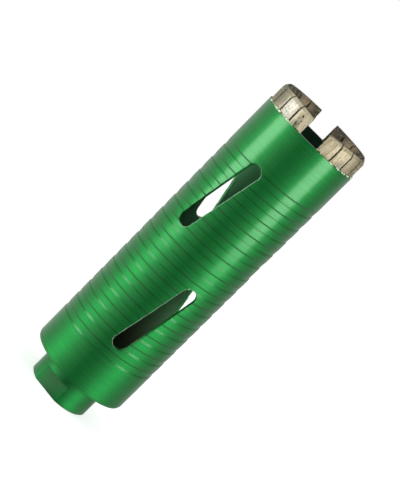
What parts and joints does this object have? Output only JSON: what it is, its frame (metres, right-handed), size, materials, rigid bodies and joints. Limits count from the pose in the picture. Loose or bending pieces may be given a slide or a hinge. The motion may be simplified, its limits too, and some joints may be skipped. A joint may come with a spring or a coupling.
{
  "type": "diamond core bit",
  "caption": "Dry diamond core bit: a slotted steel barrel with a spiral chip groove, a threaded hub with wrench flats and toothed cutting segments round the rim.",
  "frame": {"origin": "on the barrel's axis, at the centre of the hub's end face, which seats on the machine's spindle", "axes": "+Z along the axis from the hub to the cutting rim, which is the way the bit is fed into the work; +X, -X, +Y and -Y each point through one of the gaps between neighbouring cutting segments; angles are turns about +Z from -Y towards +X"},
  "size_m": [0.051, 0.051, 0.1754],
  "materials": {
    "green_lacquer": "metallic green lacquer over turned steel, semi-gloss, with fine turning marks",
    "diamond_metal_bond": "sintered bronze and cobalt bond holding diamond grit, pale champagne, rough and pitted, open at the ridged top"
  },
  "bodies": {
    "root": {"barrel": "green_lacquer", "threaded_hub": "green_lacquer", "cutting_segment_1": "diamond_metal_bond", "cutting_segment_2": "diamond_metal_bond", "cutting_segment_3": "diamond_metal_bond", "cutting_segment_4": "diamond_metal_bond"}
  },
  "joints": []
}
